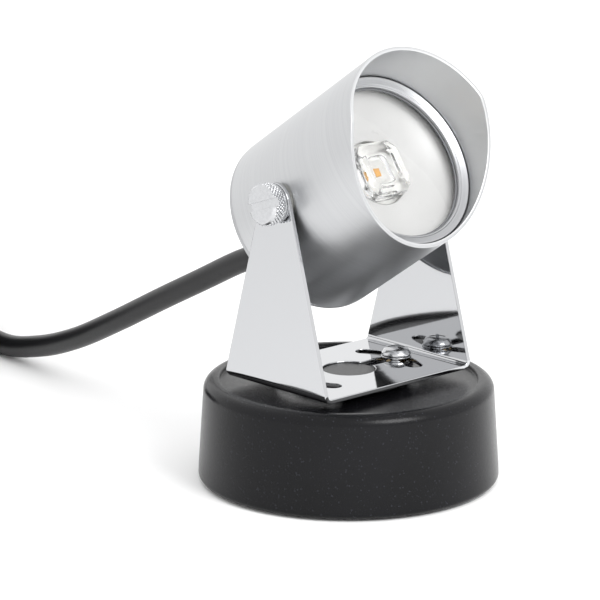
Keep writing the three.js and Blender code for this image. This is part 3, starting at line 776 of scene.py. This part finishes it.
# clamp: a pan-head screw with a cross recess, and its washer
clamp = {"at": np.array([19.8 * mm, 0, 33.7 * mm]), "seat": 0.65 * mm, "headRadius": 4.4 * mm, "head": 2.7 * mm,
         "recess": (5.0 * mm, 1.0 * mm, 3.0 * mm), "recessTurn": 45, "shankRadius": 1.95 * mm, "shankLow": -6.1 * mm}


def makeClamp(b):
    seat, top, r = b["seat"], b["seat"] + b["head"], b["headRadius"]
    # dome: a quarter ellipse from the shoulder to the middle
    inwards = np.linspace(0, 1, 14)
    rise = np.sqrt(1 - (1 - inwards) ** 2)
    dome = np.stack([r * 0.93 * (1 - inwards), seat + b["head"] * (0.42 + 0.58 * rise)], axis=1)
    under = eased([(0, b["shankLow"]), (b["shankRadius"], b["shankLow"]), (b["shankRadius"], seat),
                   (r - 0.15 * mm, seat), (r, seat + 0.2 * mm), (r, seat + 0.32 * b["head"])], 0.12 * mm)
    screw = turned("clamp_screw_turned", np.vstack([under, dome]), origin=b["at"], segments=128)
    cutters = []
    for i in (-1, 1):
        turn = math.radians(i * b["recessTurn"])
        axes = np.array([[math.cos(turn), -math.sin(turn), 0], [math.sin(turn), math.cos(turn), 0], [0, 0, 1]])
        cutters.append(boxPiece(f"recess_{i}", b["recess"], b["at"] + np.array([0, 0, top + 0.2 * mm]), axes))
    finished(evenShade(carved(screw, *cutters)), "clamp_screw", "screws", "clamp_screw", slot="turned_steel")
    low, high, outer = 0.05 * mm, 0.55 * mm, 4.6 * mm
    washer = eased([(2.2 * mm, low), (outer, low), (outer, high), (2.2 * mm, high)], 0.15 * mm, closed=True)
    finished(turned("clamp_washer_ring", washer, origin=b["at"], segments=96, closed=True), "clamp_washer", "screws",
             "clamp_washer", slot="turned_steel")


makeClamp(clamp)
print("screws made")

# back of the head: cap and cable gland
gland = {"cap": [(6.1, -17.6), (26.5, -17.6), (26.5, -21.5), (27.9, -21.5), (27.9, -22.8), (6.1, -22.8)],
         "body": [(4.0, -31.5), (6.4, -31.5), (6.4, -26.6), (9, -26.6), (9, -22.9), (6.0, -22.9), (6.0, -15.8),
                  (4.0, -15.8)],
         "nut": [(6.5, -26.8), (8.2, -26.8), (8.2, -32.5), (6.8, -35.6), (4.9, -35.6), (4.9, -34.4), (6.5, -33)],
         "boot": [(3.7, -34.4), (4.7, -34.4), (4.7, -35.8), (5.4, -36.4), (4.8, -42.5), (3.7, -42.5)],
         "hexFrom": 6.6 * mm, "hexRadius": 8.6 * mm, "nutFrom": 7.2 * mm, "nutCorner": 1.07}


# six flats: a flat's distance is the radius times cos 30, over cos of the angle from the flat's middle
def sixFlats(u):
    return np.cos(np.pi / 6) / np.cos(np.mod(u, np.pi / 3) - np.pi / 6)


def makeRear(b):
    def hexed(u, r, h):
        return np.where(r > b["hexFrom"], np.minimum(r * sixFlats(u), b["hexRadius"]), r), h

    def fluted(u, r, h):
        return np.where(r > b["nutFrom"], np.minimum(r * b["nutCorner"] * sixFlats(u), r), r), h

    cap, body, nut, boot = (eased(np.array(b[key]) * mm, radius, closed=True) for key, radius in
                            (("cap", 1.0 * mm), ("body", 0.3 * mm), ("nut", 0.5 * mm), ("boot", 0.4 * mm)))
    finished(evenShade(onHead("rear_cap_turned", cap, closed=True, segments=220)), "head", "ring", "rear_cap",
             slot="housing_steel")
    finished(evenShade(onHead("gland_body_moulded", body, closed=True, segments=192, reshape=hexed)), "head",
             "plastic", "gland_body", slot="gland_plastic")
    finished(evenShade(onHead("gland_nut_moulded", nut, closed=True, segments=192, reshape=fluted)), "head",
             "plastic", "gland_nut", slot="gland_plastic")
    finished(onHead("cable_boot_moulded", boot, closed=True, segments=96), "head", "rubber", "cable_boot",
             slot="cable_rubber")


makeRear(gland)
print("head back made")

# plug: boot, body with a screw collar, lying on top of the coil; profiles in mm
plug = {"at": (-40, 273, 46.4), "ribs": 32, "ribDepth": 0.25 * mm, "ribFrom": 8.2 * mm, "ribStand": 0.15 * mm,
        "boot": [(0, 0), (4.6, 0), (5.0, 3.1), (4.6, 3.3), (4.7, 4.0), (5.2, 4.2), (5.4, 6.4), (5.0, 6.6), (5.1, 7.3),
                 (5.6, 7.5), (5.8, 9.7), (0, 9.7)],
        "body": [(0, 10), (7.2, 10), (8, 11), (8, 22), (6.2, 22), (6.2, 34), (5.2, 34), (5.2, 26), (0, 26)],
        "collar": [(6.6, 22.4), (8.9, 22.4), (8.9, 36), (6.6, 36)],
        "seal": [(3.9, 26.1), (5.1, 26.1), (5.1, 27.1), (3.9, 27.1)],
        "pin": [(0, 26.1), (0.9, 26.1), (0.9, 33), (0, 33)], "pinsAt": (2, -2)}


def makePlug(b):
    axes = np.column_stack([[0, 0, 1.0], [0, 1, 0], [-1, 0, 0]])
    at = np.array(b["at"]) * mm

    def part(name, profile, **more):
        return turned(name, np.array(profile) * mm, axes, at, **more)

    boot = eased(b["boot"], 0.25)
    finished(part("plug_boot_moulded", boot, segments=96), "bracket", "rubber", "plug_boot", slot="cable_rubber")
    body = eased(b["body"], 0.3)
    finished(part("plug_body_moulded", body, segments=128), "bracket", "plastic", "plug_body", slot="plug_plastic")
    collar = eased(b["collar"], 0.4, closed=True)

    # ribs: the radius falls by a raised cosine of the angle, once per rib
    def ribbed(u, r, h):
        wave = 0.5 - 0.5 * np.cos(u * b["ribs"])
        return np.where(r > b["ribFrom"], r + b["ribStand"] - b["ribDepth"] * wave, r), h

    finished(part("plug_collar_ribbed", collar, closed=True, segments=256, reshape=ribbed), "bracket", "plastic",
             "plug_collar", slot="plug_plastic")
    seal = eased(b["seal"], 0.4, closed=True)
    finished(part("plug_seal_ring", seal, closed=True, segments=64), "bracket", "seal", "plug_seal",
             slot="seal_rubber")
    pin = eased(b["pin"], 0.35)
    for i, y in enumerate(b["pinsAt"], 1):
        piece = turned(f"plug_pin_turned_{i}", pin * mm, axes, at + np.array([0, y * mm, 0]), 40)
        finished(piece, "bracket", "pins", f"plug_pin_{i}", slot="pin_copper")


makePlug(plug)

# strap round the coil: a flat band carried round the pack of turns
strap = {"width": 9 * mm, "thick": 0.9 * mm, "corner": 7 * mm}


def makeStrap(b):
    low, high = (np.array(c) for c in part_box("coil_tie"))
    inset = b["thick"] / 2 + 0.05 * mm
    x0, x1, z0, z1 = low[0] + inset, high[0] - inset, low[2] + inset, high[2] - inset
    c = b["corner"]
    quarter = np.linspace(0, np.pi / 2, 10)
    corners = [((x1 - c, z1 - c), 0), ((x0 + c, z1 - c), np.pi / 2), ((x0 + c, z0 + c), np.pi),
               ((x1 - c, z0 + c), 1.5 * np.pi)]
    loop = np.vstack([np.stack([cx + c * np.cos(quarter + s), cz + c * np.sin(quarter + s)], axis=1)
                      for (cx, cz), s in corners])
    count = len(loop)
    step = np.roll(loop, -1, axis=0) - np.roll(loop, 1, axis=0)
    outward = np.stack([step[:, 1], -step[:, 0]], axis=1) / np.linalg.norm(step, axis=1)[:, None]
    middle = (low[1] + high[1]) / 2
    section = eased([(-b["width"] / 2, -b["thick"] / 2), (b["width"] / 2, -b["thick"] / 2),
                     (b["width"] / 2, b["thick"] / 2), (-b["width"] / 2, b["thick"] / 2)], 0.3 * mm, closed=True)
    rings = np.stack([loop[:, None, 0] + outward[:, None, 0] * section[None, :, 1],
                      np.broadcast_to(middle + section[None, :, 0], (count, len(section))),
                      loop[:, None, 1] + outward[:, None, 1] * section[None, :, 1]], axis=-1)
    band = meshFrom("coil_strap", rings.reshape(-1, 3), gridFaces(count, len(section), closedRows=True))
    finished(evenShade(band), "bracket", "strap", "coil_tie", slot="tie_fabric")


makeStrap(strap)
print("plug and strap made")

# the nodes that keep their CAD shape
kept = {"base_ballast": "ballast", "base_cover": "plastic", "threaded_insert": "brass", "pivot_nut_left": "screws",
        "pivot_nut_right": "screws", "led_board": "mask", "board_screw_left": "screws",
        "board_screw_right": "screws", "heat_sink": "aluminium", "driver_board": "board", "driver_post_1": "brass",
        "driver_post_2": "brass", "driver_coil": "ferrite", "driver_capacitor": "aluminium", "lead_positive": "red",
        "lead_negative": "plastic", "rear_seal": "seal", "gland_lock_nut": "plastic", "gland_seal": "seal"}
for name, paint in kept.items():
    mesh = nodes[name].data
    mesh.materials.clear()
    mesh.materials.append(paints[paint])

# floor, backdrop and light
stage = {"floor": "#f7f7f7", "floorHalf": 8, "sky": 1.28}
softbox = {"side": 0.3, "power": 2.7, "place": (-0.03, -0.5, 0.42)}


def makeSoftbox(b):
    data = bpy.data.lights.new("beam softbox", "AREA")
    data.shape, data.size, data.energy = "SQUARE", b["side"], b["power"]
    made = bpy.data.objects.new("beam softbox", data)
    made.location = b["place"]
    made.rotation_euler = (Vector(pivot) - Vector(b["place"])).to_track_quat("-Z", "Y").to_euler()
    bpy.context.scene.collection.objects.link(made)


def makeStage(b):
    mesh, half = bpy.data.meshes.new("floor"), b["floorHalf"]
    mesh.from_pydata([(-half, -half, 0), (half, -half, 0), (half, half, 0), (-half, half, 0)], [], [(0, 1, 2, 3)])
    floor = bpy.data.objects.new("floor", mesh)
    bpy.context.scene.collection.objects.link(floor)
    mesh.materials.append(startMaterial("white backdrop paper", Base_Color=linear(b["floor"]), Roughness=0.9)[0])
    world = bpy.data.worlds.new("studio")
    bpy.context.scene.world = world
    world.use_nodes = True
    sky = world.node_tree.nodes["Background"]
    sky.inputs["Color"].default_value = (1, 1, 1, 1)
    sky.inputs["Strength"].default_value = b["sky"]
    bpy.context.scene.view_settings.view_transform = "Standard"


makeStage(stage)
makeSoftbox(softbox)
print("stage made")
